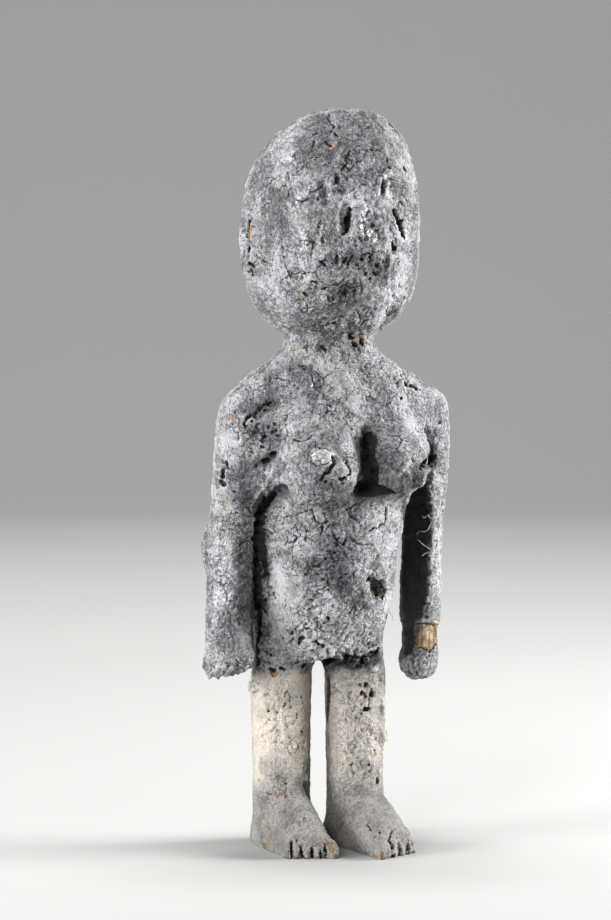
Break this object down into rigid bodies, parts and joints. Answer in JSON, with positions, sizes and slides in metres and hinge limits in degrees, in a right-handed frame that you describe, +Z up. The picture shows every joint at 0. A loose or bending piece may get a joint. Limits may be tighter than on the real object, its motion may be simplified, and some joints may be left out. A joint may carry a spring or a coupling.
{
  "type": "fetish figure",
  "caption": "Standing carved wooden female figure with a large head, cased in thick cracked crust, one arm broken at the wrist.",
  "frame": {"origin": "on the ground under the middle of the figure's box, level with its soles", "axes": "+Z up, the face looks towards -Y, the figure's left hand is at +X"},
  "size_m": [0.0982, 0.0888, 0.2799],
  "materials": {
    "crusted_wood": "dull, cracked and pitted dry grey crust over carved wood"
  },
  "bodies": {
    "root": {"figure": "crusted_wood"}
  },
  "joints": []
}
